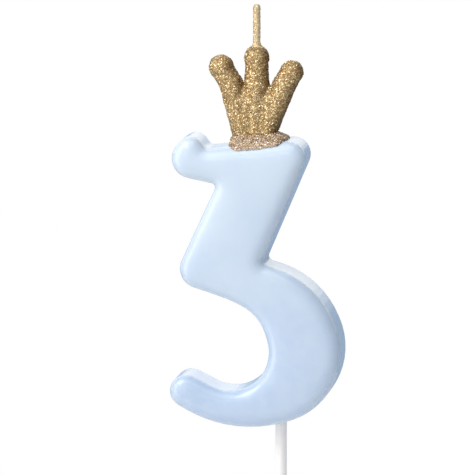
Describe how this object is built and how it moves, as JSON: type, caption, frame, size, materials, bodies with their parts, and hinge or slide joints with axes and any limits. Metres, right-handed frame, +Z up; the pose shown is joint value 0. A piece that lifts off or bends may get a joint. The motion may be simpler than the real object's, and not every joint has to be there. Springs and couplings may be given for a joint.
{
  "type": "number birthday candle",
  "caption": "Pale blue wax numeral three with a gold-glittered crown and wick, standing on a white plastic cake stick.",
  "frame": {"origin": "on the stick's axis, level with the lowest point of the numeral, where the candle meets the cake", "axes": "+Z up along the stick, +X to the right as the numeral is read, front face towards -Y"},
  "size_m": [0.0388, 0.015, 0.1372],
  "materials": {
    "casting_wax": "white paraffin wax, hidden under the coloured coat",
    "coloured_wax": "pale blue glossy wax coat, slightly translucent",
    "crown_wax": "gold-tinted cast wax",
    "weld_wax": "melted wax bead strewn with fine gold glitter",
    "gold_glitter": "fine light-gold polyester glitter in a clear binder",
    "wick_cotton": "braided cotton, waxed",
    "wick_coat": "fine light-gold glitter in wax",
    "stick_plastic": "white moulded plastic, satin"
  },
  "bodies": {
    "stick": {"stick": "stick_plastic"},
    "candle": {"numeral_core": "casting_wax", "numeral_skin": "coloured_wax", "crown_core": "crown_wax", "crown_weld": "weld_wax", "crown_glitter": "gold_glitter", "wick_cord": "wick_cotton", "wick_glitter": "wick_coat"}
  },
  "joints": [
    {"name": "candle_lift", "type": "slide", "parent": "stick", "child": "candle", "axis": [0, 0, 1], "range_m": [0, 0.018]}
  ]
}
